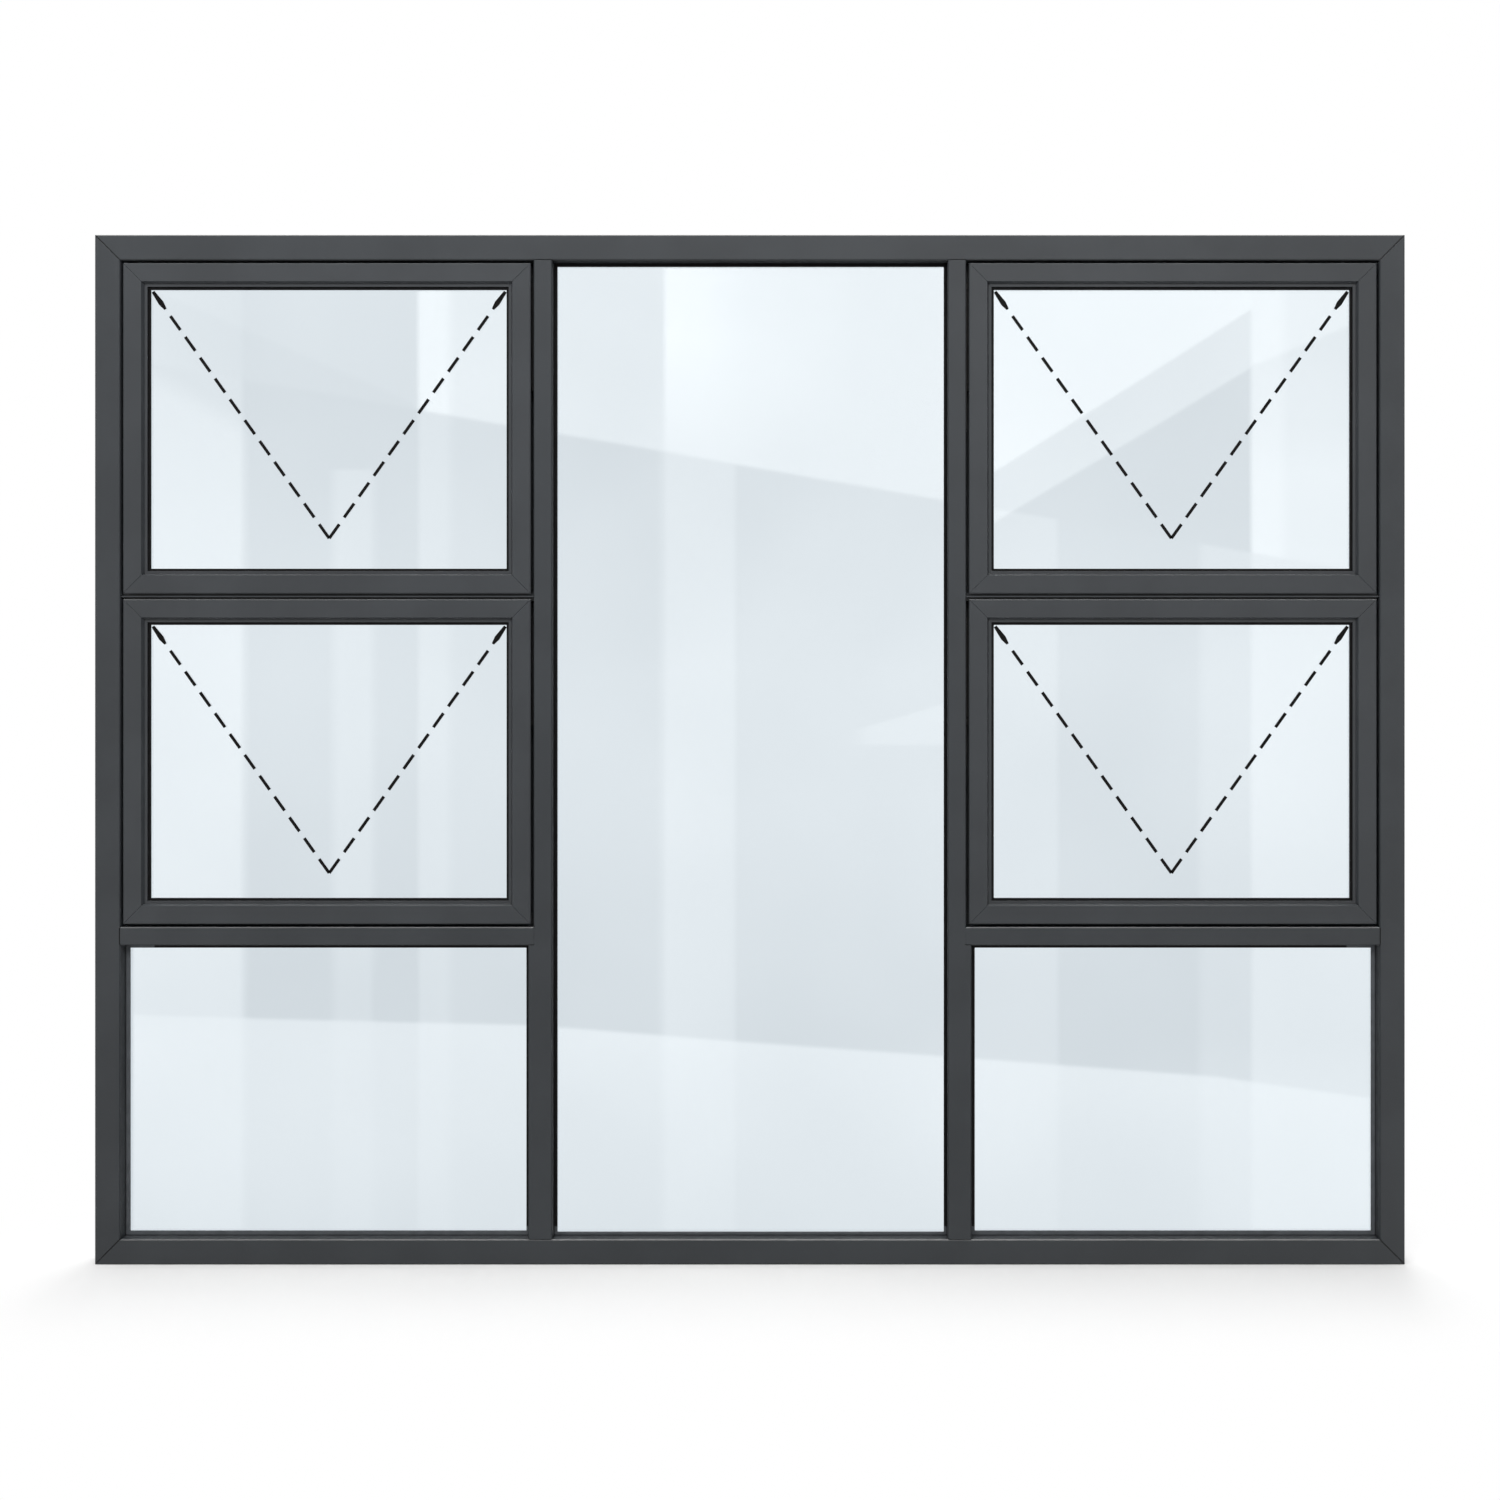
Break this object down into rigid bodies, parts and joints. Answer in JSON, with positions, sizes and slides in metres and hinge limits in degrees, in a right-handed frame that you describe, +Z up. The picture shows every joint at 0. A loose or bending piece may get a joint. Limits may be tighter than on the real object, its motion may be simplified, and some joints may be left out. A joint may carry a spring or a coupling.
{
  "type": "top-hung window",
  "caption": "Grey aluminium window with a tall fixed light in the middle and, on each side, top-hung sashes stacked above a low fixed light",
  "frame": {"origin": "the middle of the sill's underside, at half the frame's depth", "axes": "X along the window's width, +Y from the outside to the room, +Z up"},
  "size_m": [2.29, 0.079, 1.8],
  "materials": {
    "frame_coat": "satin",
    "sash_coat": "satin",
    "bead_coat": "satin",
    "handle_coat": "satin",
    "glass": "gloss",
    "gasket": "matte",
    "seal": "matte",
    "stay_coat": "satin"
  },
  "bodies": {
    "root": {"centre_glass": "glass", "fixed_glazing_beads": "bead_coat", "frame_head": "frame_coat", "frame_jamb_left": "frame_coat", "frame_jamb_right": "frame_coat", "frame_sill": "frame_coat", "friction_stays": "stay_coat", "glazing_gaskets_inside": "gasket", "glazing_gaskets_outside": "gasket", "handle_bases": "handle_coat", "lower_left_glass": "glass", "lower_left_handle": "handle_coat", "lower_left_sash_bottom_rail": "sash_coat", "lower_left_sash_glass": "glass", "lower_left_sash_left_stile": "sash_coat", "lower_left_sash_right_stile": "sash_coat", "lower_left_sash_top_rail": "sash_coat", "lower_right_glass": "glass", "lower_right_handle": "handle_coat", "lower_right_sash_bottom_rail": "sash_coat", "lower_right_sash_glass": "glass", "lower_right_sash_left_stile": "sash_coat", "lower_right_sash_right_stile": "sash_coat", "lower_right_sash_top_rail": "sash_coat", "lower_transom_left": "frame_coat", "lower_transom_right": "frame_coat", "meeting_transom_left": "frame_coat", "meeting_transom_right": "frame_coat", "mullion_left": "frame_coat", "mullion_right": "frame_coat", "sash_glazing_beads": "bead_coat", "sash_stops": "sash_coat", "sash_weather_seals": "seal", "upper_left_handle": "handle_coat", "upper_left_sash_bottom_rail": "sash_coat", "upper_left_sash_glass": "glass", "upper_left_sash_left_stile": "sash_coat", "upper_left_sash_right_stile": "sash_coat", "upper_left_sash_top_rail": "sash_coat", "upper_right_handle": "handle_coat", "upper_right_sash_bottom_rail": "sash_coat", "upper_right_sash_glass": "glass", "upper_right_sash_left_stile": "sash_coat", "upper_right_sash_right_stile": "sash_coat", "upper_right_sash_top_rail": "sash_coat"}
  },
  "joints": []
}
